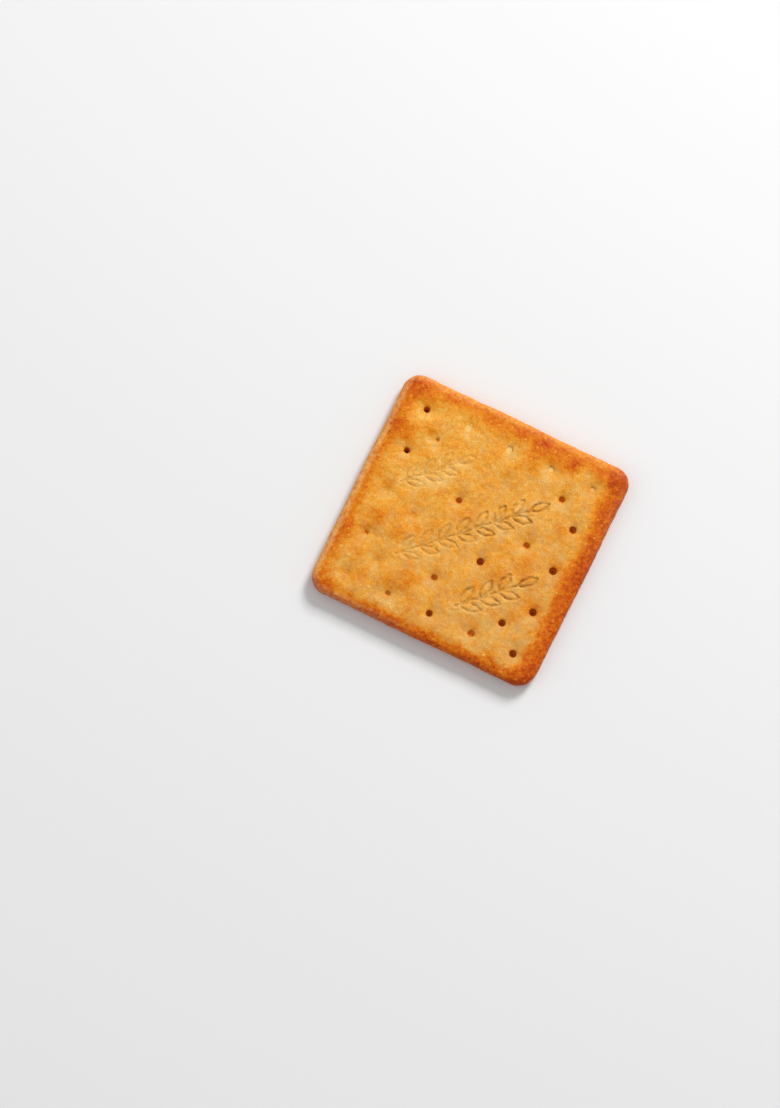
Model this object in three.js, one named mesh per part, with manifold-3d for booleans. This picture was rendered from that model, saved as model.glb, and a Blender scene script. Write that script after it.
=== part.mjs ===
// A square, pin-docked cracker that lies on its flat underside with its baked face up.
// Millimetres, +Z up. The origin is the middle of the underside, with +X and +Y along the sides.

import * as THREE from 'three';
import { mergeVertices } from 'three/addons/utils/BufferGeometryUtils.js';
import Module from 'manifold-3d';

// Plan
const side = 65.4; // across the flats, before the corners are pulled out of square
const cornerRadius = 5;
const cornerPulls = [ // the corner's signs, then how far it lies off the true square
  { x: -1, y: 1, dx: -0.35, dy: 0.05 },
  { x: 1, y: 1, dx: 0.5, dy: 0.15 },
  { x: 1, y: -1, dx: -0.2, dy: 0.6 },
  { x: -1, y: -1, dx: -0.1, dy: 0.35 },
];
const sideBow = 0.3; // the left and right sides bow out by this much at their middle
const edgeWaves = { // how the two pairs of sides swing in and out
  leftAndRight: { swing: 0.07, length: 27, phase: 0.8 },
  frontAndBack: { swing: 0.08, length: 34, phase: 2.1 },
};

// Thickness
const crustHeight = 5.1; // the face between the pins, above the underside
const rimMiddle = 2.45; // height of the widest line of the edge
const rimHalfHeight = 2.15;
const rimBulge = 1.5; // how far the edge rounds over in plan
const rimTurn = 0.4 * Math.PI; // the part of the quarter turn that the edge takes
const rimWidth = 6.5; // the face slopes down over this width
const rimLift = 5; // the underside curls up over this width
const rimEase = 2.2; // how soon the slope levels out

// Docking pins: a ring of sixteen, four inside its corners and two slanting rows of three
const pinSpacing = 12.3;
const holeSides = 10;
const holeRadius = 0.9;
const mouthRadius = 1.35; // where a hole flares out at the face
const mouthDepth = 1.1;
const underMouthRadius = 1.3; // and at the underside
const underMouthDepth = 1.2;
const pitBottom = 2.9; // a pin mark that baked shut inside ends at this height
const pitBottomRadius = 0.55;
const dimpleRadius = 2.3;
const dimpleDepth = 0.9;
const shutDimpleDepth = 0.45;
const underDimpleDepth = 0.55; // before the flat of the underside cuts off its edge
const underFlat = 0.12;
const slantStep = 0.75; // along both axes, in pin spacings

// Blisters that rose in the oven: place, radius and height
const blisters = [
  [-27.9, 17.3, 4.2, 0.45], [-20.9, 20.6, 2.6, 0.3], [6.7, 23.6, 3.2, 0.35], [10.2, 28.6, 4.5, 0.3],
  [3.3, 17, 2.6, 0.2], [14.6, 7.3, 2.6, 0.3], [16.6, 0, 3.4, 0.4], [21.9, 10.6, 2.5, 0.2],
  [11.3, -6, 3, 0.4], [6, -12, 2.6, 0.35], [-24.3, -6, 3.6, 0.4], [-17.3, -8.6, 3.6, 0.35],
  [-10.3, -18, 4.6, 0.45], [-15, -22, 3, 0.35], [-24.6, -18, 2.6, 0.3], [-10, 4, 3.8, 0.25],
  [-30.2, -13.3, 3, 0.3], [0.8, 2.8, 2.4, 0.25],
];
const smallBlisters = 46;
const smallBlisterRadius = [1.6, 3.2];
const smallBlisterHeight = [0.08, 0.26];

// Mesh
const faceCells = 38;
const edgeCells = 4;
const edgeCrowding = 0.2; // draws the grid lines towards the rim

const half = side / 2;
const rimInset = rimBulge * (1 - Math.cos(rimTurn));
const rimTop = rimMiddle + rimHalfHeight * Math.sin(rimTurn);
const rimBottom = rimMiddle - rimHalfHeight * Math.sin(rimTurn);

// The same draws every time: a small multiplicative generator.
function makeRandom(seed) {
  let state = seed;
  return (low, high) => {
    state = (state * 16807) % 2147483647;
    return low + (high - low) * (state / 2147483647);
  };
}

function bump(x, y, centreX, centreY, radius) {
  const reach = ((x - centreX) ** 2 + (y - centreY) ** 2) / radius ** 2;
  return Math.exp(-reach);
}

// Each pin has a state: open runs through, pit ends inside, shut is a dimple alone.
function makePins() {
  const shut = ['-1,2', '-2,0', '-1.25,-0.25', '-1.5,-1.5', '-2,-2', '0.25,1.25'];
  const pits = ['-1,-2', '1,-2', '-2,-1', '-0.25,-1.25', '-1.5,1.5', '0,2', '1,2', '2,2'];
  const places = [];
  for (let i = -2; i <= 2; i++) {
    for (let j = -2; j <= 2; j++) {
      if (Math.max(Math.abs(i), Math.abs(j)) === 2) places.push([i, j]);
    }
  }
  for (const i of [-1.5, 1.5]) {
    for (const j of [-1.5, 1.5]) places.push([i, j]);
  }
  for (const across of [-0.5, 0.5]) {
    for (const along of [-slantStep, 0, slantStep]) places.push([across + along, along - across]);
  }
  return places.map(([i, j]) => {
    const name = `${i},${j}`;
    const state = shut.includes(name) ? 'shut' : pits.includes(name) ? 'pit' : 'open';
    return { x: i * pinSpacing, y: j * pinSpacing, state };
  });
}

function makeSmallBlisters() {
  const random = makeRandom(4711);
  return Array.from({ length: smallBlisters }, () => [
    random(-half + 4, half - 4),
    random(-half + 4, half - 4),
    random(...smallBlisterRadius),
    random(...smallBlisterHeight),
  ]);
}

const pins = makePins();
const allBlisters = [...blisters, ...makeSmallBlisters()];

// Turns a point of the square into one of the square with round corners.
function roundCorner(x, y, halfWidth, radius) {
  const straight = halfWidth - radius;
  const a = (Math.abs(x) - straight) / radius;
  const b = (Math.abs(y) - straight) / radius;
  if (a <= 0 || b <= 0) return [x, y];
  const roundX = straight + radius * a * Math.sqrt(1 - (b * b) / 2);
  const roundY = straight + radius * b * Math.sqrt(1 - (a * a) / 2);
  return [Math.sign(x) * roundX, Math.sign(y) * roundY];
}

// Pulls the corners out of square and lets the sides swing.
function pull(x, y) {
  let pulledX = x;
  let pulledY = y;
  for (const corner of cornerPulls) {
    const weight = ((1 + (corner.x * x) / half) * (1 + (corner.y * y) / half)) / 4;
    pulledX += corner.dx * weight;
    pulledY += corner.dy * weight;
  }
  const sway = (wave, along) => wave.swing * Math.sin((2 * Math.PI * along) / wave.length + wave.phase);
  pulledX += (sideBow * (1 - (y / half) ** 2) + sway(edgeWaves.leftAndRight, y)) * (x / half) ** 3;
  pulledY += sway(edgeWaves.frontAndBack, x) * (y / half) ** 3;
  return [pulledX, pulledY];
}

function faceHeight(x, y) {
  let height = crustHeight;
  for (const [cx, cy, radius, rise] of allBlisters) height += rise * bump(x, y, cx, cy, radius);
  for (const pin of pins) {
    const depth = pin.state === 'shut' ? shutDimpleDepth : dimpleDepth;
    height -= depth * bump(x, y, pin.x, pin.y, dimpleRadius);
  }
  return height;
}

// The underside is flat where it lay on the oven band, and hollow round each pin.
function underHeight(x, y) {
  let height = -underFlat;
  for (const pin of pins) height += underDimpleDepth * bump(x, y, pin.x, pin.y, dimpleRadius);
  return Math.max(0, height);
}

function shapePoint(u, v, w) {
  const crowd = (t) => (1 + edgeCrowding) * t - edgeCrowding * t ** 5;
  const onSide = Math.abs(w) < 1;
  const turn = w * rimTurn;
  const inset = onSide ? rimBulge * (1 - Math.cos(turn)) : rimInset;
  const halfWidth = half - inset;
  const square = [crowd(u) * halfWidth, crowd(v) * halfWidth];
  const [x, y] = pull(...roundCorner(...square, halfWidth, cornerRadius - inset));
  if (onSide) return [x, y, rimMiddle + rimHalfHeight * Math.sin(turn)];

  const fromEdge = halfWidth - Math.max(Math.abs(square[0]), Math.abs(square[1]));
  const ease = (width) => 1 - Math.max(0, 1 - fromEdge / width) ** rimEase;
  return w > 0
    ? [x, y, rimTop + (faceHeight(x, y) - rimTop) * ease(rimWidth)]
    : [x, y, rimBottom + (underHeight(x, y) - rimBottom) * ease(rimLift)];
}

function makeDough() {
  const box = new THREE.BoxGeometry(2, 2, 2, faceCells, faceCells, edgeCells);
  box.deleteAttribute('normal');
  box.deleteAttribute('uv');
  const dough = mergeVertices(box, 1e-5);
  const position = dough.getAttribute('position');
  for (let i = 0; i < position.count; i++) {
    const point = shapePoint(position.getX(i), position.getY(i), position.getZ(i));
    position.setXYZ(i, ...point);
  }
  return dough;
}

// What a pin pushes out: a straight neck that flares at the face, and at the underside if it is open.
function makeHole(pin) {
  const mouth = faceHeight(pin.x, pin.y);
  const flare = mouthRadius - holeRadius;
  const foot = pin.state === 'open'
    ? [[0, -1], [underMouthRadius, -1], [underMouthRadius, 0], [holeRadius, underMouthDepth]]
    : [[0, pitBottom], [pitBottomRadius, pitBottom]];
  const outline = [
    ...foot,
    [holeRadius, mouth - mouthDepth],
    [mouthRadius, mouth],
    [mouthRadius + flare, mouth + mouthDepth],
    [0, mouth + mouthDepth],
  ];
  const hole = new THREE.LatheGeometry(outline.map(([r, z]) => new THREE.Vector2(r, z)), holeSides);
  hole.rotateX(Math.PI / 2);
  hole.translate(pin.x, pin.y, 0);
  return hole;
}

const wasm = await Module();
wasm.setup();

function toSolid(geometry) {
  const bare = geometry.clone();
  bare.deleteAttribute('normal');
  bare.deleteAttribute('uv');
  const merged = mergeVertices(bare, 1e-5);
  return new wasm.Manifold(new wasm.Mesh({
    numProp: 3,
    vertProperties: new Float32Array(merged.getAttribute('position').array),
    triVerts: new Uint32Array(merged.index.array),
  }));
}

function toGeometry(solid) {
  const mesh = solid.getMesh();
  const geometry = new THREE.BufferGeometry();
  geometry.setAttribute('position', new THREE.BufferAttribute(mesh.vertProperties, 3));
  geometry.setIndex(new THREE.BufferAttribute(mesh.triVerts, 1));
  return geometry;
}

function makeCracker() {
  let solid = toSolid(makeDough());
  for (const pin of pins) {
    if (pin.state !== 'shut') solid = solid.subtract(toSolid(makeHole(pin)));
  }
  const geometry = toGeometry(solid);
  geometry.computeBoundingBox();
  const { min, max } = geometry.boundingBox;
  geometry.translate(-(min.x + max.x) / 2, -(min.y + max.y) / 2, -min.z);
  geometry.computeVertexNormals();
  return geometry;
}

const crust = new THREE.MeshStandardMaterial({ color: 0xdf9b42, roughness: 0.62, metalness: 0 });

const cracker = new THREE.Mesh(makeCracker(), crust);
cracker.name = 'cracker';

const group = new THREE.Group();
group.add(cracker);

export default group;
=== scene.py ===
import math
import random

import bmesh
import bpy
import numpy as np
from mathutils import Matrix, Vector, kdtree, noise


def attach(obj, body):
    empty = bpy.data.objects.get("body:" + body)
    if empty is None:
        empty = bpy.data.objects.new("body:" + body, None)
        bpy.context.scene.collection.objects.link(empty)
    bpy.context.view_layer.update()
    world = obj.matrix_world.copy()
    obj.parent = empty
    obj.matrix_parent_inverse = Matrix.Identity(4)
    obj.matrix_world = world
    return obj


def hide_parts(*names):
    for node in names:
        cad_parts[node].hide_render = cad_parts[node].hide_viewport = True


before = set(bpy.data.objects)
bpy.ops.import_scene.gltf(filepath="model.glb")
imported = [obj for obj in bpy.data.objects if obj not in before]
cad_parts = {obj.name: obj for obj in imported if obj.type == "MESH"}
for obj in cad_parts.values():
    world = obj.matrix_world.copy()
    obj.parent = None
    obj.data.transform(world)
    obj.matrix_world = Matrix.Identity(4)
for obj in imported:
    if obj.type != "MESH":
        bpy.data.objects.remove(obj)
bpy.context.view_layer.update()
scene = bpy.context.scene
scene.view_settings.view_transform = "Standard"

mm = 0.001

# Camera: looks down on the baked face, a little from the front
cameraValues = {
    "imageSize": (780, 1108),
    "focalPixels": 3500,
    "azimuth": 26.0,
    "elevation": 82.0,
    "distance": 933 * mm,
    "facePixel": (469.5, 530.3),  # where the middle of the pin pattern shows
    "facePoint": (0.0, -0.3 * mm, 4.4 * mm),
    "sensorWidth": 36,
    "clip": (0.01, 20),
}


def makeCamera(values):
    wide, high = values["imageSize"]
    data = bpy.data.cameras.new("camera")
    data.sensor_width = values["sensorWidth"]
    data.lens = values["focalPixels"] * data.sensor_width / max(wide, high)
    data.clip_start, data.clip_end = values["clip"]
    camera = bpy.data.objects.new("camera", data)
    scene.collection.objects.link(camera)
    azimuth, elevation = math.radians(values["azimuth"]), math.radians(values["elevation"])
    back = Vector((math.sin(azimuth) * math.cos(elevation),
                   -math.cos(azimuth) * math.cos(elevation), math.sin(elevation)))
    turn = (-back).to_track_quat("-Z", "Y")
    right = (values["facePixel"][0] - wide / 2) / values["focalPixels"]
    up = (high / 2 - values["facePixel"][1]) / values["focalPixels"]
    seen = Vector((right, up, -1)) * values["distance"]
    camera.matrix_world = Matrix.LocRotScale(Vector(values["facePoint"]) - turn @ seen, turn, None)
    scene.camera = camera


makeCamera(cameraValues)
print("camera made")

# The cracker is worked out in millimetres and brought to metres at the end
dough = {
    "side": 65.4,
    "cornerRadius": 5.0,
    # the corner's signs, then how far it lies off the true square
    "cornerPulls": [(-1, 1, -0.35, 0.05), (1, 1, 0.5, 0.15), (1, -1, -0.2, 0.6), (-1, -1, -0.1, 0.35)],
    "sideBow": 0.3,  # the left and right sides bow out by this much
    "sway": (0.07, 0.08),  # how far the sides swing in and out, left and right ones first
    "swayLengths": (27, 34),
    "swayPhases": (0.8, 2.1),
    "crustHeight": 5.05,
    "rimMiddle": 2.45,  # height of the widest line of the rim
    "rimHalfHeight": 2.15,
    "rimBulge": 1.5,  # how far the rim rounds over in plan
    "rimStart": math.radians(4),  # the two sheets of the crust meet across this angle
    "rimTurn": 0.43 * math.pi,
    "rimWidth": 4.8,  # the face slopes down over this width
    "rimLift": 4.5,  # the underside curls up over this width
    "rimEase": 2.6,  # how soon the slope levels out
    "topCells": 212,
    "underCells": 136,
    "fineReach": 0.6,  # how near a pressed line or a grit the faces are split
    "fineHoleReach": 1.7,  # and how near a hole
}


def rimLength(slices):
    # along the curve from the widest line of the rim to the edge of the face
    angles = [(k + 0.5) * dough["rimTurn"] / slices for k in range(slices)]
    return sum(math.hypot(dough["rimBulge"] * math.sin(angle), dough["rimHalfHeight"] * math.cos(angle))
               * dough["rimTurn"] / slices for angle in angles)


half = dough["side"] / 2
rimInset = dough["rimBulge"] * (1 - math.cos(dough["rimTurn"]))
rimArc = rimLength(100)
reach = half - rimInset + rimArc  # from the middle of the face out to the widest line of the rim

# A pin went right through, ended in a pit, or its mark baked shut
pinValues = {
    "spacing": 12.3,
    "slantStep": 0.75,
    "shut": {  # how deep the pin's foot is still pressed in, and how brown it is
        (-1, 2): (0.1, -0.24), (-2, 0): (0.16, 0.0), (-1.25, -0.25): (0.2, 0.08),
        (-1.5, -1.5): (0.2, -0.14), (-2, -2): (0.24, -0.04), (0.25, 1.25): (0.05, 0.0),
    },
    "pits": {  # radius, depth and how brown its bottom is
        (-1, -2): (0.7, 0.8, 0.08), (1, -2): (0.92, 1.0, 0.27), (-0.25, -1.25): (0.8, 1.0, 0.28),
        (-1.5, 1.5): (0.5, 0.5, 0.08), (-2, -1): (0.5, 0.5, 0.1),
        (0, 2): (0.84, 0.26, -0.4), (1, 2): (0.76, 0.24, -0.34), (2, 2): (0.62, 0.28, -0.2),
    },
    "open": {  # radius, how far down its waist is, the share of the radius left there, how brown it is
        (-2, 2): (0.86, 2.1, 0.74, 0.4), (-2, 1): (0.82, 2.1, 0.74, 0.4), (0, -2): (0.9, 1.6, 0.14, 0.9),
        (2, -2): (0.99, 1.8, 0.16, 1.0), (2, -1): (1.0, 1.8, 0.16, 1.0), (2, 0): (1.01, 1.7, 0.16, 0.95),
        (2, 1): (0.96, 1.5, 0.12, 0.85), (1.5, -1.5): (0.93, 1.8, 0.18, 1.0),
        (1.5, 1.5): (0.84, 1.1, 0.12, 0.42), (-0.5, 0.5): (0.8, 1.1, 0.12, 0.38),
        (0.5, -0.5): (1.0, 1.7, 0.16, 1.0), (1.25, 0.25): (0.86, 1.0, 0.12, 0.3),
    },
    "mouthShift": (0.13, -0.25),  # how far a hole's mouth lies off the pin pattern
    "footRadius": 0.85,  # of a shut mark
    "footWall": (0.15, -0.2),  # where the foot's wall starts and ends, outward from its radius
    "footTone": (0.3, -0.2),
    "dimple": (2.5, 0.6),  # radius and depth
    "shutDimple": (2.2, 0.45),
    "underDimple": (2.3, 0.6),
    "lip": (0.2, 0.2),  # over what width the face dips into a hole, and how deep
    "lipPaintedShade": (0.1, 0.25),  # painted shade round the mouth of a hole: how much browner, and over what width
    "dimplePaintedShade": (0.06, 1.7, 1.2),  # painted shade on the dimple's slope behind the pin, which faces away from the light: how much browner, how far behind the pin, radius
    "mouthWobble": (0.14, 1.3),  # how far a mouth is out of round, and how fast that changes round it
    "mouthEdge": 0.7,  # how far outside the mouth's radius the cut edges of the sheet lie at most
    # share of the radius and of the depth, ring by ring
    "wallSteps": [(0.98, 0.2), (0.95, 0.6), (0.9, 0.85), (0.7, 0.96), (0.36, 1.0)],
    "waistLength": 0.1,
    "belowWaist": 0.7,  # how far down the hole has widened half way again, as a share of the crust
    "underMouth": (0.9, 0.87),  # share of the radius and of the crust at the last ring
    "wallCrumb": 0.25,  # how uneven the wall gets on its way down
    "unevenLeft": 0.6,  # how much of one ring's unevenness the next one keeps
    "glow": (2, 1.1, 0.6),  # how fast it rises with the brown of the bottom, its most, how fast it falls
    "glowDepths": (0.3, 0.9),  # from where it starts to where it is full
}


def makePins(values):
    places = [(i, j) for i in range(-2, 3) for j in range(-2, 3) if max(abs(i), abs(j)) == 2]
    places += [(i, j) for i in (-1.5, 1.5) for j in (-1.5, 1.5)]
    for across in (-0.5, 0.5):
        for along in (-values["slantStep"], 0, values["slantStep"]):
            places.append((across + along, along - across))
    made = []
    for place in places:
        pin = {"x": place[0] * values["spacing"], "y": place[1] * values["spacing"]}
        if place in values["shut"]:
            pin["state"], pin["radius"] = "shut", values["footRadius"]
            pin["depth"], pin["brown"] = values["shut"][place]
        elif place in values["pits"]:
            pin["state"] = "pit"
            pin["radius"], pin["depth"], pin["brown"] = values["pits"][place]
        else:
            pin["state"] = "open"
            pin["radius"], pin["depth"], pin["waist"], pin["brown"] = values["open"][place]
        if pin["state"] != "shut":
            pin["x"] += values["mouthShift"][0]
            pin["y"] += values["mouthShift"][1]
        made.append(pin)
    return made


pins = makePins(pinValues)

# Blisters that rose in the oven: x, y, radius and rise
blisters = [
    (-27.9, 17.3, 4.2, 0.45), (-20.9, 20.6, 2.6, 0.3), (6.7, 23.6, 3.2, 0.35), (10.2, 28.6, 4.5, 0.3),
    (3.3, 17, 2.6, 0.2), (14.6, 7.3, 2.6, 0.3), (16.6, 0, 3.4, 0.4), (21.9, 10.6, 2.5, 0.2),
    (11.3, -6, 3, 0.4), (6, -12, 2.6, 0.35), (-24.3, -6, 3.6, 0.4), (-17.3, -8.6, 3.6, 0.35),
    (-10.3, -18, 4.6, 0.45), (-15, -22, 3, 0.35), (-24.6, -18, 2.6, 0.3), (-10, 4, 3.8, 0.25),
    (-30.2, -13.3, 3, 0.3), (0.8, 2.8, 2.4, 0.25),
]

# Where the oven browned the face more, or less, with one painted shade among them: x, y, reach along and
# across, turn, change
tones = [
    (-29, 28, 3.4, 3.0, 0, 0.24), (-25.6, 30.4, 1.4, 1.2, 0, 0.1), (-19.4, 29.9, 2.4, 1.4, 0, 0.13),
    (-30, 22.5, 2.0, 2.4, 0, 0.1), (-28, 17.2, 4.1, 2.7, 0, 0.32), (-21.2, 20.2, 2.0, 1.7, 0, 0.15),
    (-12.5, 19.5, 3.4, 1.3, 0, 0.08), (-7.3, 29.3, 3.0, 1.7, 0, 0.14), (-3, 27.4, 3.0, 1.8, 0, 0.07),
    (1.2, 29.6, 3.0, 1.6, 0, 0.12), (8, 28.4, 3.2, 2.6, 0, 0.28), (14.4, 28, 4.2, 2.2, 0, 0.2),
    (17.3, 27.2, 1.9, 2.2, 0, 0.12), (6.9, 23.4, 2.9, 2.0, -40, 0.2), (2.9, 17.2, 2.1, 1.5, 0, 0.11),
    (-0.1, 14.5, 1.2, 1.9, 0, 0.06), (27, 29.2, 4.0, 2.4, -10, 0.17), (21.7, 9.2, 1.8, 2.8, 0, 0.14),
    (-10.6, 5.6, 2.3, 1.6, 0, 0.07), (-2, 2.2, 3.2, 2.4, 30, 0.13), (-9.8, -4.3, 2.0, 2.3, 0, 0.13),
    # (-15.4, -2.1) is painted shade, on the side of a shut pin's dimple that faces away from the light
    (-15.4, -2.1, 1.3, 1.3, 0, 0.1), (-23.8, -6.9, 2.8, 2.3, 0, 0.22), (-25, -11.8, 1.4, 1.8, 0, 0.12),
    (-16.8, -9.4, 2.7, 1.8, 20, 0.15), (-7.2, -8.5, 1.9, 0.9, 0, 0.08), (-12.4, -6.8, 1.2, 1.2, 0, 0.06),
    (-9.5, -18.8, 2.4, 3.0, 0, 0.2), (-12.6, -21.9, 4.5, 1.8, 0, 0.13), (-7, -23.2, 2.5, 1.9, 0, 0.1),
    (-24.2, -18.3, 2.2, 1.4, 0, 0.1), (-18.4, -17, 1.6, 1.6, 0, 0.09), (-24.3, -24.4, 1.8, 2.6, 0, 0.15),
    (-20.2, -23.4, 1.6, 1.6, 0, 0.12), (-25, 1.5, 1.7, 1.6, 0, 0.09), (17.7, -3.5, 3.2, 2.6, 60, 0.18),
    (17.8, 0.2, 1.6, 1.8, 0, 0.1), (20.2, -5.4, 1.3, 1.3, 0, 0.1), (12.2, -8.6, 2.6, 2.6, 0, 0.16),
    (7.8, -12.3, 1.8, 2.0, 0, 0.1), (7, -16.6, 3.4, 2.0, 0, 0.08), (1.7, -17.2, 1.8, 1.0, 0, 0.08),
    (21, -15.8, 2.2, 2.2, 0, 0.12), (23, -4.2, 1.8, 1.4, 0, 0.08), (18.7, -28, 2.0, 1.3, 0, 0.17),
    (24, -11.6, 3.2, 2.6, 0, 0.14), (9.8, -22.5, 1.6, 1.5, 0, 0.07), (-6, -26.6, 1.8, 1.6, 0, 0.09),
    (-28.6, -14, 2.3, 2.8, 0, 0.16), (-29, -18.6, 1.8, 2.0, 0, 0.1), (-20.4, -12, 1.7, 1.1, 0, 0.07),
    (-10.4, -14.5, 1.4, 1.4, 0, 0.1), (25, 0.7, 2.8, 2.2, 0, 0.09), (27.6, -17.2, 1.9, 2.4, 0, 0.16),
    (28, -3.4, 1.4, 2.2, 0, 0.14), (3.8, -28.6, 2.6, 1.2, 0, 0.1), (24.6, 23.4, 2.2, 1.4, 0, 0.08),
    (7.4, 25.6, 2.6, 1.6, 0, 0.1), (28.6, 21.5, 1.5, 3.6, 0, 0.16), (27.4, 6, 1.3, 1.6, 0, 0.07),
    (27.2, -6.4, 1.4, 1.8, 0, 0.09), (-29.4, -8, 1.4, 3, 0, 0.06), (-13.4, 19.6, 2.2, 1.0, 0, 0.05),
    (1.2, -0.8, 1.8, 0.9, -30, 0.09), (-1.4, -3.4, 1.9, 0.8, -30, 0.09), (4.4, 4.7, 2.2, 0.8, -20, 0.08),
    (-10, -14.2, 1.6, 1.0, 0, 0.06), (-19, 28.2, 2.2, 1.2, 0, 0.06), (-29, 27.4, 1.2, 1.4, 0, 0.08),
    (-30.4, 1.6, 1.9, 1.1, 0, 0.08), (-30.4, -19.6, 1.5, 1.0, 0, 0.08), (-24.6, -16.6, 2.6, 3.6, 0, 0.05),
    (-6.4, 26.6, 2.3, 1.5, 0, 0.07), (18.6, 24.8, 1.4, 2.4, 0, 0.08), (9.4, 23.4, 2.6, 0.8, 0, 0.07),
    (15.2, 6.2, 1.3, 1.6, 0, 0.08), (25.2, 2, 1.2, 3.0, 0, 0.07), (8, -11.6, 3.0, 1.5, 0, 0.06),
    (-8.6, 0.8, 2.8, 1.0, 0, 0.06), (21.8, -11.6, 1.5, 1.3, 0, 0.07), (-12.4, -6.4, 2.0, 1.0, 0, 0.06),
    (4.6, -31, 4.0, 1.0, 0, 0.08), (6.6, 28.6, 1.3, 1.2, 0, 0.08), (18.4, -27, 1.5, 1.5, 0, 0.06),
    (30.4, 19.4, 1.0, 2.6, 0, 0.08), (-0.6, -6.6, 2.6, 1.2, 0, 0.05), (-29.4, 22, 1.0, 1.6, 0, 0.06),

    (-24.6, 22.4, 2.6, 1.6, 0, -0.1), (-17.6, 24.4, 2.1, 1.1, 0, -0.09), (-10.6, 23, 3.4, 1.7, 0, -0.12),
    (-19.4, 16.9, 1.9, 1.4, 0, -0.09), (-10, 14.9, 1.7, 1.2, 0, -0.09), (-7, 14.6, 1.5, 1.1, 0, -0.07),
    (-24.4, 10.6, 2.2, 1.8, 0, -0.11), (-12, 9.4, 4.0, 1.9, 40, -0.12), (-16, 6.6, 3.4, 1.9, 0, -0.13),
    (-20.4, 7.6, 2.0, 1.8, 0, -0.08), (-23, 4.6, 1.8, 2.2, 0, -0.12), (-18.2, 2.8, 1.5, 1.2, 0, -0.07),
    (-22.8, -1.2, 1.3, 2.1, 0, -0.09), (-16, -4.9, 2.4, 1.0, 20, -0.08), (12.3, 22.3, 1.8, 2.6, 0, -0.09),
    (23.4, 21.6, 2.0, 1.3, -40, -0.06), (18.7, 15.9, 2.1, 1.0, 0, -0.09), (10.6, 10.6, 3.0, 1.4, -45, -0.1),
    (15, 11, 2.0, 1.0, 0, -0.07), (8.5, 2.3, 2.3, 1.2, 0, -0.1), (3.2, 3.1, 2.0, 1.0, -40, -0.09),
    (14, 1.1, 1.5, 1.0, 0, -0.07), (-11.4, -10.4, 2.3, 1.1, -30, -0.09), (-6.5, -11.6, 2.0, 1.1, 0, -0.07),
    (-24, -14.4, 1.9, 1.0, 0, -0.07), (-17.8, -20.8, 1.9, 1.1, -20, -0.09),
    (-26.2, -26.2, 1.6, 1.2, 0, -0.08), (-18, -27, 4.0, 1.0, 0, -0.06),
    (-11.4, -27, 2.4, 1.0, 0, -0.1), (5.6, -21.6, 2.1, 1.3, -20, -0.07),
    (8, -27, 5.0, 1.0, 0, -0.06), (18, -21.4, 1.6, 1.2, 0, -0.1), (17.3, -8, 2.1, 0.9, -35, -0.08),
    (16, -13.5, 1.0, 1.9, -30, -0.06), (0.3, 22.8, 2.4, 1.7, 0, -0.08), (-22, -30.4, 3.6, 1.2, 0, -0.12),
    (-26, 7.2, 2.6, 1.4, 0, -0.08), (-22.4, 3.4, 1.8, 2.2, 0, -0.06), (-18.4, 18.9, 1.5, 0.9, 0, -0.1),
    (-4, 18.8, 2.0, 1.2, 0, -0.06), (10.8, 10.2, 2.0, 1.6, -40, -0.09), (13.4, 14.4, 2.2, 1.0, 40, -0.08),
    (7, 6.8, 1.6, 1.0, -40, -0.08), (-21, -30, 2.0, 0.9, 0, -0.1), (-16.6, -30.2, 1.6, 0.9, 0, -0.08),
    (25, 31.2, 3.4, 1.0, 0, -0.14), (-12.4, -10.2, 1.4, 1.2, 0, -0.06), (28.8, 14, 1.2, 1.6, 0, -0.08),
    (-25.6, 6.5, 3.4, 1.5, 0, -0.07), (-21.6, 2.4, 2.0, 1.6, 0, -0.05), (-22.6, 16, 1.8, 1.0, 0, -0.06),
    (-18.2, 18.7, 2.2, 0.9, 0, -0.06), (-14.9, 10.6, 1.0, 1.4, 0, -0.07), (-9.2, 10.6, 1.5, 0.8, 0, -0.06),
    (12.4, 14.2, 0.9, 1.8, 0, -0.08), (-16.6, -18, 1.0, 2.6, 0, -0.05), (-12.6, -23.6, 1.6, 1.4, 0, -0.07),
    (14.8, -14.2, 1.5, 1.0, 0, -0.06), (3.4, -21.8, 1.4, 1.4, 0, -0.05), (-5, 14.4, 2.2, 1.0, 0, -0.05),
]

# Each side's browned or paler bands: which way the side faces, width, how softly it ends, how much browner.
# The narrow paler bands on the left and the back are painted highlight
edgeTones = [
    ((1, 0), 6.4, 4.2, 0.56), ((0, -1), 5.0, 3.0, 0.48),
    ((-1, 0), 5.6, 4.2, 0.35), ((0, 1), 7.2, 5.4, 0.32),
    # narrow outer bands: darker still at the front; paler on the left and back, a painted highlight
    ((0, -1), 1.8, 1.4, 0.34), ((-1, 0), 1.9, 1.3, -0.28), ((0, 1), 1.6, 1.2, -0.14),
]

# Grits of dough that stand out near the corners and edges, paler, partly as a painted glint: x, y, radius
grits = [
    (-29.9, 25.8, 0.3), (-28.3, 29.6, 0.34), (-22.6, 30.6, 0.3), (-28.9, -19, 0.34), (18, -28.6, 0.36),
    (21.9, -31.2, 0.34), (-26.8, 30.2, 0.26), (20.4, -29.9, 0.3), (-30.3, -20.4, 0.26),
]

# The smaller blisters, the bubbles and more grits are scattered, and stay an inset away from the sides
scatterValues = {
    "blisters": {"count": 70, "seed": 11, "inset": 4, "radii": (1.1, 3.0), "rises": (0.05, 0.22)},
    "bubbles": {"count": 150, "seed": 23, "inset": 2.5, "radii": (0.5, 1.0), "rises": (0.04, 0.13)},
    "grits": {"count": 75, "seed": 5, "inset": 1.2, "spread": 3.0, "cornerGap": 2, "radii": (0.16, 0.32)},
}


def scatter(count, seed, inset, radii, rises):
    draw = random.Random(seed)
    far = half - inset
    return [(draw.uniform(-far, far), draw.uniform(-far, far), draw.uniform(*radii), draw.uniform(*rises))
            for _ in range(count)]


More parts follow.
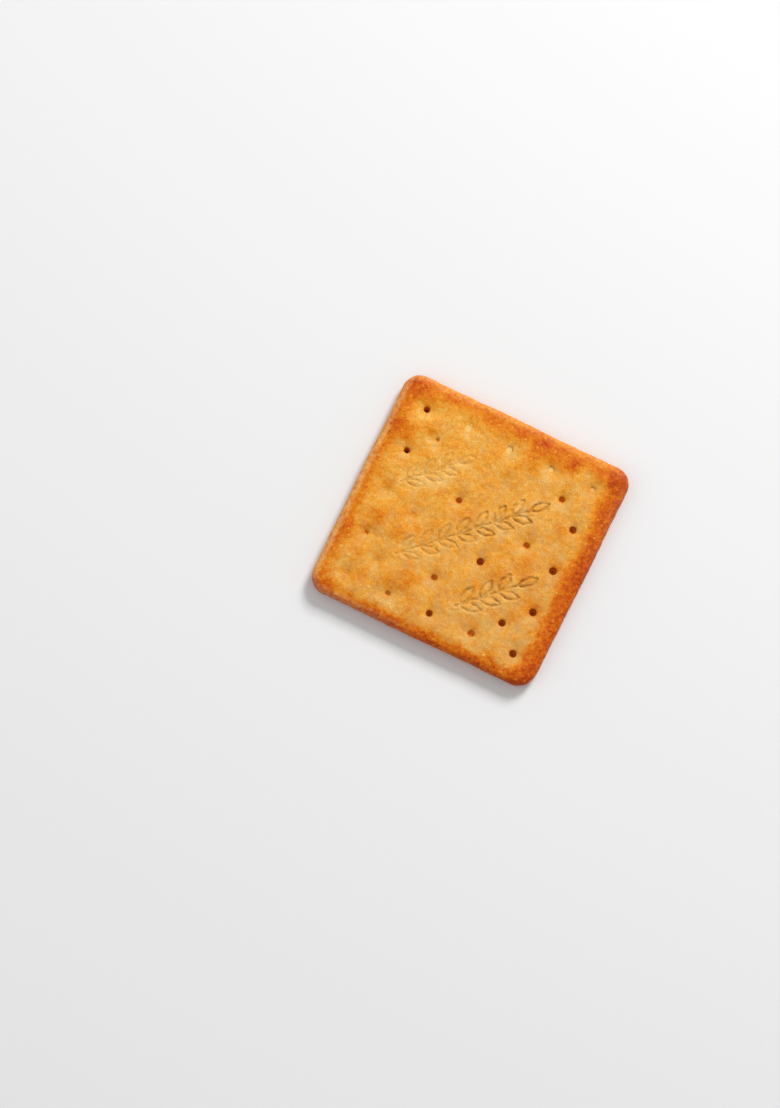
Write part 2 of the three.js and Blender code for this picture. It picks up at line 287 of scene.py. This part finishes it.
def scatterGrits(count, seed, inset, spread, cornerGap, radii):
    # along the sides, thinning out towards the middle
    draw = random.Random(seed)
    made = []
    for _ in range(count):
        along = draw.uniform(-half + cornerGap, half - cornerGap)
        inward = inset + abs(draw.gauss(0, spread))
        x, y = draw.choice([(along, half - inward), (along, inward - half),
                            (half - inward, along), (inward - half, along)])
        made.append((x, y, draw.uniform(*radii)))
    return made


smallBlisters = scatter(**scatterValues["blisters"])
bubbles = scatter(**scatterValues["bubbles"])
grits += scatterGrits(**scatterValues["grits"])

# A plain ear of wheat is pressed along each of the three slanting bands
earValues = {
    "slant": math.radians(44),
    "ears": [  # strength is how deep it is pressed at its foot and at its tip
        {"middle": (-14.6, 11.0), "length": 21, "pairs": 3, "strength": (0.5, 0.35)},
        {"middle": (0.6, 0.4), "length": 43, "pairs": 7, "strength": (0.4, 1.0)},
        {"middle": (13.6, -12.2), "length": 23, "pairs": 3, "strength": (0.6, 1.0)},
    ],
    "bareFoot": 0.3,  # the stalk below the first pair, in steps from one pair to the next
    "stalkSway": (0.15, 0.6),  # how far the stalk sways, and how fast
    "stalkGap": 0.2,  # between the stalk and the foot of a grain
    "grainLength": 1.02,  # of the step from one pair to the next
    "grainWidth": 0.36,  # of the grain's length
    "grainFullness": 0.8,  # under 1 makes the ends of a grain rounder
    "grainLean": math.radians(34),
    "pointStep": 0.1,
    "lineShake": (0.3, 1.6),  # how far the lines stray, and over what length
    "lineWear": (0.8, 0.7, 2.8, 0.55),  # what is left, how much that changes, over what length, and chips
    "mostPressed": 1.2,
    "grooveWidth": 0.3,
    "grooveDepth": 0.5,
    "ridge": (0.3, 2.3),  # beside a groove: its share of the depth, and how many widths off it lies
    "besideEnd": 3,  # widths over which the face beside a line is paler
    "groovesEnd": 6,  # widths past which a line does nothing
}


def makeEarPoints(ear, values):
    # each point is x, y and how deep it is pressed
    along = Vector((math.cos(values["slant"]), math.sin(values["slant"])))
    across = Vector((-along.y, along.x))
    start = Vector(ear["middle"]) - along * ear["length"] / 2
    low, high = ear["strength"]
    pitch = ear["length"] / (ear["pairs"] + 1 + values["bareFoot"])
    points = []

    def press(forward, sideways):
        place = start + along * forward + across * sideways
        points.append((place.x, place.y, low + (high - low) * forward / ear["length"]))

    sway, swayRate = values["stalkSway"]
    stalk = pitch * (ear["pairs"] + values["bareFoot"])
    for k in range(int(stalk / values["pointStep"])):
        forward = k * values["pointStep"]
        press(forward, sway * math.sin(forward * swayRate))
    grain = pitch * values["grainLength"]
    steps = int(grain / values["pointStep"])
    for pair in range(ear["pairs"] + 1):
        foot = pitch * (pair + values["bareFoot"])
        for side in ((1, -1) if pair < ear["pairs"] else (0,)):
            turn = values["grainLean"] * side
            for k in range(steps + 1):
                bulge = max(math.sin(math.pi * k / steps), 0) ** values["grainFullness"]
                swell = values["grainWidth"] / 2 * grain * bulge
                for edge in (-1, 1):
                    forward = grain * k / steps * math.cos(turn) - edge * swell * math.sin(turn)
                    sideways = grain * k / steps * math.sin(turn) + edge * swell * math.cos(turn)
                    press(foot + forward, sideways + values["stalkGap"] * side)
    return points


marks = [point for ear in earValues["ears"] for point in makeEarPoints(ear, earValues)]
markTree = kdtree.KDTree(len(marks))
for index, mark in enumerate(marks):
    markTree.insert((mark[0], mark[1], 0), index)
markTree.balance()


def planOf(u, v):
    # plan position, distance in from the rim's inner line, and the angle round the rim
    s = np.maximum(np.abs(u), np.abs(v))
    inward = (1 - s) * reach
    onRim = inward < rimArc
    angle = dough["rimStart"] + (dough["rimTurn"] - dough["rimStart"]) * np.minimum(inward / rimArc, 1)
    inset = np.where(onRim, dough["rimBulge"] * (1 - np.cos(angle)), rimInset)
    width = half - inset
    radius = dough["cornerRadius"] - inset
    grow = np.where(onRim, width / np.maximum(s, 1e-9), reach)
    x, y = u * grow, v * grow
    straight = width - radius
    a = np.maximum((np.abs(x) - straight) / radius, 0)
    b = np.maximum((np.abs(y) - straight) / radius, 0)
    corner = (a > 0) & (b > 0)
    x, y = (np.where(corner, np.sign(x) * (straight + radius * a * np.sqrt(1 - b * b / 2)), x),
            np.where(corner, np.sign(y) * (straight + radius * b * np.sqrt(1 - a * a / 2)), y))
    pulledX, pulledY = x.copy(), y.copy()
    for signX, signY, shiftX, shiftY in dough["cornerPulls"]:
        weight = (1 + signX * x / half) * (1 + signY * y / half) / 4
        pulledX += shiftX * weight
        pulledY += shiftY * weight
    swing = [size * np.sin(2 * math.pi * place / length + phase) for size, place, length, phase
             in zip(dough["sway"], (y, x), dough["swayLengths"], dough["swayPhases"])]
    pulledX += (dough["sideBow"] * (1 - (y / half) ** 2) + swing[0]) * (x / half) ** 3
    pulledY += swing[1] * (y / half) ** 3
    return pulledX, pulledY, inward - rimArc, angle


def sheetPlace(x, y, rounds=6):
    # where a plan position lies in the flat sheet, found by closing in on it
    x, y = np.asarray(x, float), np.asarray(y, float)
    u, v = x / reach, y / reach
    for _ in range(rounds):
        nowX, nowY, _inward, _angle = planOf(u, v)
        u, v = u + (x - nowX) / reach, v + (y - nowY) / reach
    return u, v


def noiseOver(places, strength, size, octaves, start):
    return strength * np.array([noise.fractal((x / size + start, y / size, z / size), 1.0, 2.0, octaves)
                                for x, y, z in places])


def wander(places, strength, size, start):
    # how far noise draws each place along x and along y
    return noiseOver(places, strength, size, 2, start), noiseOver(places, strength, size, 2, start + 6)


def between(value, start, end):
    # rises smoothly from 0 at start to 1 at end, and end may be the lower one
    share = np.clip((value - start) / (end - start), 0, 1)
    return share * share * (3 - 2 * share)


def bump(x, y, centreX, centreY, radius):
    return np.exp(-((x - centreX) ** 2 + (y - centreY) ** 2) / radius ** 2)


# A noise has a strength, a size, its octaves and a start that picks a patch of it; a drift has no octaves
reliefValues = {
    "blisterDrift": (1.1, 5.0, 3.0),  # draws the blisters out of round
    "swell": (0.15, 9.0, 2, 1.0),
    "grain": (0.10, 3.2, 2, 5.0),
    "fineGrain": (0.09, 1.1, 3, 7.0),
    "rimSwell": (0.09, 3.5, 2, 4.0),
    "rimGrain": (0.11, 1.3, 3, 6.0),
    "rimRoughEnd": (2, 0),  # how far in the rim's own noise has run out, and where it is full
    "gritRise": 0.16,
    "underFlat": 0.14,  # how much of its relief the underside lost where it lay flat
    "underSwell": (0.24, 5.5, 2, 1.0),
    "underGrain": (0.06, 1.6, 2, 5.0),
}


def faceRelief(x, y):
    places = [(a, b, 0.0) for a, b in zip(x, y)]
    driftX, driftY = wander(places, *reliefValues["blisterDrift"])
    height = np.full(len(x), dough["crustHeight"])
    for centreX, centreY, radius, rise in blisters + smallBlisters + bubbles:
        height += rise * bump(x + driftX, y + driftY, centreX, centreY, radius)
    lipWidth, lipDepth = pinValues["lip"]
    for pin in pins:
        radius, depth = pinValues["shutDimple" if pin["state"] == "shut" else "dimple"]
        away = np.hypot(x - pin["x"], y - pin["y"])
        height -= depth * np.exp(-(away / radius) ** 2)
        if pin["state"] == "shut":
            height -= pin["depth"] * between(away - pin["radius"], *pinValues["footWall"])
        else:
            height -= lipDepth * np.exp(-np.maximum(away - pin["radius"], 0) / lipWidth)
    grain = noiseOver(places, *reliefValues["grain"]) + noiseOver(places, *reliefValues["fineGrain"])
    height += noiseOver(places, *reliefValues["swell"]) + grain
    return height, grain


def gritRelief(x, y):
    tree = kdtree.KDTree(len(grits))
    for index, (gritX, gritY, _radius) in enumerate(grits):
        tree.insert((gritX, gritY, 0), index)
    tree.balance()
    near = [tree.find((a, b, 0)) for a, b in zip(x, y)]
    return np.array([math.exp(-(away / grits[index][2]) ** 2) for _place, index, away in near])


def grooveRelief(x, y):
    # returns the height, how deep each place lies in a pressed line, and how close it is beside one
    height, stroke, beside = np.zeros(len(x)), np.zeros(len(x)), np.zeros(len(x))
    width, depth = earValues["grooveWidth"], earValues["grooveDepth"]
    ridge, ridgeAway = earValues["ridge"]
    shake, shakeSize = earValues["lineShake"]
    left, wear, wearSize, chips = earValues["lineWear"]
    for k, (a, b) in enumerate(zip(x, y)):
        shakyA = a + shake * noise.noise((a / shakeSize, b / shakeSize, 4.0))
        shakyB = b + shake * noise.noise((a / shakeSize, b / shakeSize, 8.0))
        _place, index, away = markTree.find((shakyA, shakyB, 0))
        away /= width
        if away < earValues["groovesEnd"]:
            worn = left + wear * noise.noise((a / wearSize, b / wearSize, 2.0))
            worn += chips * noise.noise((a, b, 6.0))
            pressed = marks[index][2] * min(max(worn, 0), earValues["mostPressed"])
            stroke[k] = pressed * math.exp(-away ** 2)
            height[k] = depth * (ridge * pressed * math.exp(-(away - ridgeAway) ** 2) - stroke[k])
            beside[k] = math.exp(-(away / earValues["besideEnd"]) ** 2)
    return height, stroke, beside


def underRelief(x, y):
    # its noise is read at another height than the face's, so that the two sheets differ
    places = [(a, b, 5.0) for a, b in zip(x, y)]
    height = np.full(len(x), -reliefValues["underFlat"])
    radius, depth = pinValues["underDimple"]
    for pin in pins:
        height += depth * bump(x, y, pin["x"], pin["y"], radius)
    uneven = noiseOver(places, *reliefValues["underSwell"]) + noiseOver(places, *reliefValues["underGrain"])
    height = np.maximum(height + uneven, 0)
    tone = toneValues["under"] + toneValues["underContact"] * between(height, *toneValues["contactEnd"])
    return height, tone + noiseOver(places, *toneValues["underPatches"])


# A tone is how much browner a place is than the plain face. An end tells where an effect has run out, and
# then where it is full
toneValues = {
    "drift": (1.0, 3.5, 20.0),  # draws the browned places out of shape
    "fineDrift": (0.45, 1.0, 30.0),
    "falloff": 1.5,  # how sharply a browned place ends
    "grain": 0.5,  # proud grains brown first
    "blister": 0.35,  # for each millimetre that a small one rises
    "besideMarks": -0.07,
    # grits are paler: partly pale crumb, partly a painted glint
    "gritAndGlint": -0.35,
    "faceEnd": (-1.5, 0),  # the tones of the face reach this far out over the rim
    "bandRagged": (1.4, 5.0, 2, 8.0),
    "bandFrayed": (0.8, 1.2, 2, 12.0),
    "bandPatches": (0.25, 7.0, 2, 15.0),
    "bandWanes": 0.22,  # how much of a band's brown is gone at its inner end
    # browner lower down the rim: partly baked brown, partly painted shade near the floor
    "rimFootBrownAndShade": 0.1,
    "rimFootBrownAndShadeEnd": (1.4, 0.4),  # in heights of the rim's middle
    "rimFlecks": (0.14, 0.8, 2, 60.0),
    "rimFlecksEnd": (2.4, 0.4),
    "under": 0.08,
    "underContact": 0.14,  # more where it lay on the oven's band
    "contactEnd": (0.12, 0),
    "underPatches": (0.4, 6.0, 3, 9.0),
    "dust": 0.1,
    "frontRightDulling": 0.003,  # duller towards the front right corner, more for each millimetre
    "dustClouds": (0.3, 2.4, 3, 40.0),
    "dimplePaintedHighlight": (0.22, 0.2, -1.6, 1.1),  # painted highlight, paler and duller on the dimple's slope that faces the light: strength, place from the pin, radius
    "mostDustAndHighlight": 0.45,
    "dustAndHighlightEnd": (1 / 3, 0),  # browned crust shows none
    "paintedRimLightShares": (0.34, 0.12),  # painted highlight: paler on the left rim and on the back one
    "paintedRimLightEnd": (1.2, 0),
    "paintedRimLightPlain": 0.8,
    "paintedRimLightFlecks": (1.2, 0.9, 3, 50.0),
    "mostPaintedRimLight": 1.4,
    "paintedRimLightBelow": 0.4,
}


def faceTone(x, y, grain):
    places = [(a, b, 0.0) for a, b in zip(x, y)]
    driftX, driftY = wander(places, *toneValues["drift"])
    fineX, fineY = wander(places, *toneValues["fineDrift"])
    driftX, driftY = x + driftX + fineX, y + driftY + fineY
    brown = toneValues["grain"] * grain
    for centreX, centreY, along, across, turn, change in tones:
        cos, sin = math.cos(math.radians(turn)), math.sin(math.radians(turn))
        a = ((driftX - centreX) * cos + (driftY - centreY) * sin) / along
        b = (-(driftX - centreX) * sin + (driftY - centreY) * cos) / across
        brown += change * np.exp(-(a * a + b * b) ** toneValues["falloff"])
    for centreX, centreY, radius, rise in smallBlisters + bubbles:
        brown += toneValues["blister"] * rise * bump(driftX, driftY, centreX, centreY, radius)
    # painted shade round holes with a brown bottom: a darker lip at the mouth
    lipPaintedShade, lipWidth = pinValues["lipPaintedShade"]
    dimplePaintedShade, backward, radius = pinValues["dimplePaintedShade"]
    for pin in pins:
        away = np.hypot(x - pin["x"], y - pin["y"])
        if pin["state"] == "shut":
            brown += pin["brown"] * between(away - pin["radius"], *pinValues["footTone"])
        elif pin["brown"] > 0:
            brown += lipPaintedShade * np.exp(-np.maximum(away - pin["radius"], 0) / lipWidth)
            # painted shade on the slope of the dimple that faces away from the light
            brown += dimplePaintedShade * bump(x, y, pin["x"], pin["y"] + backward, radius)
    return brown


def edgeTone(x, y, places):
    ragged = noiseOver(places, *toneValues["bandRagged"]) + noiseOver(places, *toneValues["bandFrayed"])
    patchy = noiseOver(places, *toneValues["bandPatches"])
    plain = np.ones(len(x))
    for (faceX, faceY), width, fade, strength in edgeTones:
        inward = half - (x * faceX + y * faceY) + ragged
        full = 1 - toneValues["bandWanes"] * between(inward, 0, width) + patchy
        plain *= 1 - strength * full * between(inward, width, width - fade)
    return 1 - plain


# flour dust on the face, with a painted highlight on each dimple's slope that faces the light
def dustAndHighlightOver(x, y, places, tone):
    dustAndHighlight = toneValues["dust"] + toneValues["frontRightDulling"] * (x - y)
    dustAndHighlight += noiseOver(places, *toneValues["dustClouds"])
    strength, shiftX, shiftY, radius = toneValues["dimplePaintedHighlight"]
    for pin in pins:
        # painted highlight on the side of the dimple that faces the light
        dustAndHighlight += strength * bump(x, y, pin["x"] + shiftX, pin["y"] + shiftY, radius)
    return np.clip(dustAndHighlight, 0, toneValues["mostDustAndHighlight"]) * between(tone, *toneValues["dustAndHighlightEnd"])


# painted highlight: a pale, flecked cast over the left and back rims, weaker below
def paintedRimLightOver(outX, outY, inward, places, w):
    left, back = toneValues["paintedRimLightShares"]
    flecks = toneValues["paintedRimLightPlain"] + noiseOver(places, *toneValues["paintedRimLightFlecks"])
    paintedRimLight = np.maximum(np.maximum(-left * outX, back * outY), 0)
    paintedRimLight *= between(inward, *toneValues["paintedRimLightEnd"]) * np.clip(flecks, 0, toneValues["mostPaintedRimLight"])
    return paintedRimLight if w > 0 else paintedRimLight * toneValues["paintedRimLightBelow"]


# The two sheets start flat, at w = 1 and w = -1, and are shaped once they are cut
def sheetsOf(pin):
    return (1, -1) if pin["state"] == "open" else (1,)


def refineSheets(bm, holes):
    # smaller faces round the holes and grits and along the pressed lines
    fine = marks + grits
    fineU, fineV = sheetPlace([mark[0] for mark in fine], [mark[1] for mark in fine])
    tree = kdtree.KDTree(len(fine) + 2 * len(holes))
    for index, (u, v) in enumerate(zip(fineU, fineV)):
        tree.insert((u, v, 1), index)
    for pin in holes:
        for w in sheetsOf(pin):
            tree.insert((*pin["place"], w), len(fine))
    tree.balance()
    edges = set()
    for face in bm.faces:
        _place, index, away = tree.find(face.calc_center_median())
        if away * reach < (dough["fineReach"] if index < len(fine) else dough["fineHoleReach"]):
            edges.update(face.edges)
    bmesh.ops.subdivide_edges(bm, edges=list(edges), cuts=1, use_grid_fill=True)


def cutMouth(bm, pin, w):
    # opens the sheet at a pin and gives back the loop of edges round the opening
    centre = Vector((*pin["place"], w))
    size = pin["radius"] / reach
    near = size + pinValues["mouthEdge"] / reach
    inside = [vert for vert in bm.verts if (vert.co - centre).length < size]
    bmesh.ops.delete(bm, geom=inside, context="VERTS")
    loop = [edge for edge in bm.edges if edge.is_boundary and (edge.verts[0].co - centre).length < near]
    wobble, rate = pinValues["mouthWobble"]
    for vert in {vert for edge in loop for vert in edge.verts}:
        away = (vert.co - centre).normalized()
        grow = 1 + wobble * noise.noise((away.x * rate, away.y * rate, pin["x"]))
        vert.co = centre + away * size * grow
    return loop


def wallSteps(pin, top):
    # how wide the hole is at each depth: an open one has a waist and widens again below it
    steps = [(share, fall * pin["depth"]) for share, fall in pinValues["wallSteps"]]
    if pin["state"] == "open":
        belowWaist, (footShare, foot) = pinValues["belowWaist"], pinValues["underMouth"]
        steps.append((pin["waist"], pin["depth"] + pinValues["waistLength"]))
        steps.append(((1 + pin["waist"]) / 2, belowWaist * top))
        steps.append((footShare, foot * top))
    return steps


def glowOf(pin):
    # how orange the walls are; over a pale bottom they aren't
    rise, most, fall = pinValues["glow"]
    return max(min(rise * pin["brown"], 1) * (most - fall * pin["brown"]), 0)


def makeWall(bm, pin, layers):
    # draws the mouth down into the crust, ring by ring
    glow = glowOf(pin)
    edges = pin[1]
    rim = {vert for edge in edges for vert in edge.verts}
    top = sum(vert.co.z for vert in rim) / len(rim)
    lastDepth = 0
    for share, depth in wallSteps(pin, top):
        made = bmesh.ops.extrude_edge_only(bm, edges=edges)["geom"]
        verts = [part for part in made if isinstance(part, bmesh.types.BMVert)]
        edges = [part for part in made if isinstance(part, bmesh.types.BMEdge)]
        for vert in verts:
            angle = math.atan2(vert.co.y - pin["y"], vert.co.x - pin["x"])
            crumb = noise.noise((math.cos(angle) + pin["x"], math.sin(angle) + pin["y"], depth))
            size = pin["radius"] * share * (1 + pinValues["wallCrumb"] * min(depth, 1) * crumb)
            uneven = vert.co.z - (top - lastDepth)
            vert.co = (pin["x"] + size * math.cos(angle), pin["y"] + size * math.sin(angle),
                       top - depth + pinValues["unevenLeft"] * uneven)
            vert[layers["brown"]] = pin["brown"]
            vert[layers["deep"]] = glow * between(depth, *pinValues["glowDepths"])
        lastDepth = depth
    if pin["state"] == "open":
        bmesh.ops.bridge_loops(bm, edges=edges + pin[-1])
    else:
        last = {vert for edge in edges for vert in edge.verts}
        bmesh.ops.pointmerge(bm, verts=list(last), merge_co=(pin["x"], pin["y"], top - pin["depth"]))


def shapeSheet(bm, w, layers):
    verts = [vert for vert in bm.verts if vert.co.z == w]
    u = np.array([vert.co.x for vert in verts])
    v = np.array([vert.co.y for vert in verts])
    x, y, inward, angle = planOf(u, v)
    # the way outward, from a place a little further in
    inner = 0.98
    innerX, innerY, _inward, _angle = planOf(u * inner, v * inner)
    length = np.maximum(np.hypot(x - innerX, y - innerY), 1e-9)
    outX, outY = (x - innerX) / length, (y - innerY) / length

    rimZ = dough["rimMiddle"] + w * dough["rimHalfHeight"] * np.sin(angle)
    rimTop = dough["rimMiddle"] + w * dough["rimHalfHeight"] * math.sin(dough["rimTurn"])
    width = dough["rimWidth"] if w > 0 else dough["rimLift"]
    ease = 1 - np.maximum(1 - np.maximum(inward, 0) / width, 0) ** dough["rimEase"]
    pressed, gritAndGlint = np.zeros(len(x)), np.zeros(len(x))
    if w > 0:
        groove, pressed, beside = grooveRelief(x, y)
        height, grain = faceRelief(x, y)
        height += groove
        gritAndGlint = gritRelief(x, y)
        tone = faceTone(x, y, grain) + toneValues["besideMarks"] * beside + toneValues["gritAndGlint"] * gritAndGlint
    else:
        height, tone = underRelief(x, y)
    z = np.where(inward < 0, rimZ, rimTop + (height - rimTop) * ease)
    places = list(zip(x, y, z))

    rough = noiseOver(places, *reliefValues["rimSwell"]) + noiseOver(places, *reliefValues["rimGrain"])
    rough = rough * between(inward, *reliefValues["rimRoughEnd"]) + reliefValues["gritRise"] * gritAndGlint
    sideways = rough * np.cos(angle)
    upward = rough * np.sin(angle) * w
    x, y = x + outX * sideways, y + outY * sideways
    if w > 0:
        z = z + upward
    else:
        z = np.maximum(z + np.where(inward < 0, upward, 0), 0)

    tone = tone * between(inward, *toneValues["faceEnd"]) + edgeTone(x, y, places)
    # browner towards the foot of the rim, partly painted shade
    tone += toneValues["rimFootBrownAndShade"] * between(z / dough["rimMiddle"], *toneValues["rimFootBrownAndShadeEnd"])
    tone += noiseOver(places, *toneValues["rimFlecks"]) * between(inward, *toneValues["rimFlecksEnd"])
    dustAndHighlight = dustAndHighlightOver(x, y, places, tone)
    paintedRimLight = paintedRimLightOver(outX, outY, inward, places, w)
    for k, vert in enumerate(verts):
        vert.co = (x[k], y[k], z[k])
        vert[layers["brown"]] = tone[k]
        vert[layers["stroke"]] = pressed[k]
        vert[layers["dustAndHighlight"]] = dustAndHighlight[k]
        vert[layers["paintedRimLight"]] = paintedRimLight[k]


def makeCracker():
    bm = bmesh.new()
    for w, cells in ((1, dough["topCells"]), (-1, dough["underCells"])):
        bmesh.ops.create_grid(bm, x_segments=cells, y_segments=cells, size=1,
                              matrix=Matrix.Translation((0, 0, w)))
    holes = [pin for pin in pins if pin["state"] != "shut"]
    for pin, u, v in zip(holes, *sheetPlace([pin["x"] for pin in holes], [pin["y"] for pin in holes])):
        pin["place"] = (u, v)
    refineSheets(bm, holes)
    for pin in holes:
        for w in sheetsOf(pin):
            pin[w] = cutMouth(bm, pin, w)
    print("sheets cut", len(bm.faces))

    names = ("brown", "stroke", "dustAndHighlight", "paintedRimLight", "deep")
    layers = {name: bm.verts.layers.float.new(name) for name in names}
    for w in (1, -1):
        shapeSheet(bm, w, layers)
    print("sheets shaped")
    for pin in holes:
        makeWall(bm, pin, layers)
    bmesh.ops.bridge_loops(bm, edges=[edge for edge in bm.edges if edge.is_boundary])
    bmesh.ops.recalc_face_normals(bm, faces=bm.faces)
    print("crust closed, open edges", sum(edge.is_boundary for edge in bm.edges))

    low = [min(vert.co[axis] for vert in bm.verts) for axis in range(3)]
    high = [max(vert.co[axis] for vert in bm.verts) for axis in range(3)]
    middle = [(low[axis] + high[axis]) / 2 for axis in (0, 1)]
    bmesh.ops.translate(bm, verts=bm.verts, vec=(-middle[0], -middle[1], -low[2]))
    bmesh.ops.scale(bm, verts=bm.verts, vec=(mm, mm, mm))
    for face in bm.faces:
        face.smooth = True
    mesh = bpy.data.meshes.new("crackerCrust")
    bm.to_mesh(mesh)
    bm.free()
    piece = bpy.data.objects.new("crackerCrust", mesh)
    scene.collection.objects.link(piece)
    print("pin pattern is off the middle by", [round(-value, 3) for value in middle],
          "triangles", sum(len(face.vertices) - 2 for face in mesh.polygons))
    return piece


# Materials
def makeNode(tree, kind, inputs=None, **settings):
    node = tree.nodes.new(kind)
    for name, value in settings.items():
        setattr(node, name, value)
    for name, value in (inputs or {}).items():
        if isinstance(value, bpy.types.NodeSocket):
            tree.links.new(value, node.inputs[name])
        else:
            node.inputs[name].default_value = value
    return node


def compute(tree, operation, *values):
    node = makeNode(tree, "ShaderNodeMath", dict(enumerate(values)), operation=operation)
    return node.outputs[0]


def linear(red, green, blue):
    # a colour as it is read off a screen, for a shader's socket
    return tuple(((part / 255 + 0.055) / 1.055) ** 2.4 for part in (red, green, blue)) + (1,)


crustValues = {
    "bakes": [  # from the palest dough to the brownest
        (0.0, (239, 197, 121)), (0.12, (235, 181, 92)), (0.24, (231, 165, 62)), (0.35, (228, 149, 40)),
        (0.47, (221, 133, 22)), (0.59, (215, 117, 14)), (0.7, (206, 101, 6)), (0.82, (198, 85, 3)),
        (1.0, (172, 62, 2)),
    ],
    "start": 0.285,  # how far the plain face is baked
    "granules": (0.9 * mm, 1.6),  # size and strength, where the crust is browned
    "cloud": (3.0 * mm, 0.26),
    "mottle": (1.1 * mm, 0.42),
    "fleck": (0.35 * mm, 0.75),
    "creamy": (0.9 * mm, 0.8),
    "creamWanes": 0.5,  # with the browning
    "creamColour": (240, 172, 108),
    # colour of the painted highlight on the left and back rims
    "paintedRimLightColour": (240, 198, 140),
    # colour of the flour dust and of the painted highlights on the dimples
    "dustAndHighlightColour": (190, 158, 108),
    # painted shade: the pressed lines are darkened towards their bottom
    "strokeShadeColour": (168, 116, 38),
    "strokeShadeShare": 0.6,
    "holeColour": (246, 158, 44),
    "holeShare": 0.85,
    "colourDetail": (3, 0.55),  # octaves of the noise, and how strong the fine ones are
    "grain": (0.45 * mm, 0.16 * mm),  # size and height
    "grainDetail": (5, 0.65),
    "roughness": 0.5,
    "specular": 0.12,
}


def makeCrustMaterial(values):
    material = bpy.data.materials.new("bakedCrust")
    material.use_nodes = True
    tree = material.node_tree
    shader = tree.nodes["Principled BSDF"]
    place = makeNode(tree, "ShaderNodeTexCoord").outputs["Object"]

    def cloud(size, detail):
        octaves, roughness = values[detail]
        return makeNode(tree, "ShaderNodeTexNoise", {"Vector": place, "Scale": 1 / size, "Detail": octaves,
                                                     "Roughness": roughness}).outputs["Fac"]

    def read(name):
        return makeNode(tree, "ShaderNodeAttribute", attribute_name=name).outputs["Fac"]

    def blend(factor, first, second):
        node = makeNode(tree, "ShaderNodeMix", data_type="RGBA")
        tree.links.new(factor, node.inputs["Factor"])
        tree.links.new(first, node.inputs["A"])
        node.inputs["B"].default_value = linear(*values[second])
        return node.outputs["Result"]

    def swing(name):
        size, strength = values[name]
        centred = compute(tree, "SUBTRACT", cloud(size, "colourDetail"), 0.5)
        return compute(tree, "MULTIPLY", centred, strength)

    granular = compute(tree, "MULTIPLY", read("brown"), compute(tree, "ADD", swing("granules"), 1.0))
    level = compute(tree, "ADD", granular, values["start"])
    for name in ("cloud", "mottle", "fleck"):
        level = compute(tree, "ADD", level, swing(name))
    ramp = makeNode(tree, "ShaderNodeValToRGB", {"Fac": level})
    stops = ramp.color_ramp.elements
    for index, (position, colour) in enumerate(values["bakes"]):
        stop = stops[index] if index < 2 else stops.new(position)
        stop.position, stop.color = position, linear(*colour)
    browned = compute(tree, "MULTIPLY", granular, values["creamWanes"])
    cream = compute(tree, "MAXIMUM", compute(tree, "SUBTRACT", swing("creamy"), browned), 0.0)
    colour = blend(cream, ramp.outputs["Color"], "creamColour")
    colour = blend(read("paintedRimLight"), colour, "paintedRimLightColour")
    # flour dust and the painted highlights on the dimples
    colour = blend(read("dustAndHighlight"), colour, "dustAndHighlightColour")
    # painted shade in the pressed lines
    colour = blend(compute(tree, "MULTIPLY", read("stroke"), values["strokeShadeShare"]), colour, "strokeShadeColour")
    colour = blend(compute(tree, "MULTIPLY", read("deep"), values["holeShare"]), colour, "holeColour")
    tree.links.new(colour, shader.inputs["Base Color"])
    shader.inputs["Roughness"].default_value = values["roughness"]
    shader.inputs["Specular IOR Level"].default_value = values["specular"]
    grainSize, grainHeight = values["grain"]
    grain = makeNode(tree, "ShaderNodeBump", {"Strength": 1.0, "Distance": grainHeight,
                                              "Height": cloud(grainSize, "grainDetail")})
    tree.links.new(grain.outputs["Normal"], shader.inputs["Normal"])
    return material


cracker = makeCracker()
cracker.data.materials.append(makeCrustMaterial(crustValues))
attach(cracker, "root")
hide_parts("cracker")
print("cracker dressed")

# The floor and the lights
studioValues = {
    "floorSize": 3.0,
    "floorColour": (0.8, 0.8, 0.8, 1),
    "floorRoughness": 0.8,
    "worldColour": (1, 1, 1, 1),
    "worldStrength": 0.52,
    "lights": [  # power, size, place
        ("key", 14.0, 0.4, (0.14, 1.0, 0.8)),
        ("fill", 2.0, 1.0, (-0.9, -0.7, 0.9)),
    ],
}


def makeFloor(values):
    bm = bmesh.new()
    bmesh.ops.create_grid(bm, x_segments=1, y_segments=1, size=values["floorSize"] / 2)
    mesh = bpy.data.meshes.new("floor")
    bm.to_mesh(mesh)
    bm.free()
    floor = bpy.data.objects.new("floor", mesh)
    scene.collection.objects.link(floor)
    material = bpy.data.materials.new("paleFloor")
    material.use_nodes = True
    shader = material.node_tree.nodes["Principled BSDF"]
    shader.inputs["Base Color"].default_value = values["floorColour"]
    shader.inputs["Roughness"].default_value = values["floorRoughness"]
    floor.data.materials.append(material)


def makeLights(values):
    world = bpy.data.worlds.new("studio")
    world.use_nodes = True
    background = world.node_tree.nodes["Background"]
    background.inputs["Color"].default_value = values["worldColour"]
    background.inputs["Strength"].default_value = values["worldStrength"]
    scene.world = world
    for name, power, size, place in values["lights"]:
        data = bpy.data.lights.new(name, "AREA")
        data.energy, data.size = power, size
        light = bpy.data.objects.new(name, data)
        light.location = place
        light.rotation_mode = "QUATERNION"
        light.rotation_quaternion = (-Vector(place)).to_track_quat("-Z", "Y")
        scene.collection.objects.link(light)


makeFloor(studioValues)
makeLights(studioValues)
print("floor and lights made")
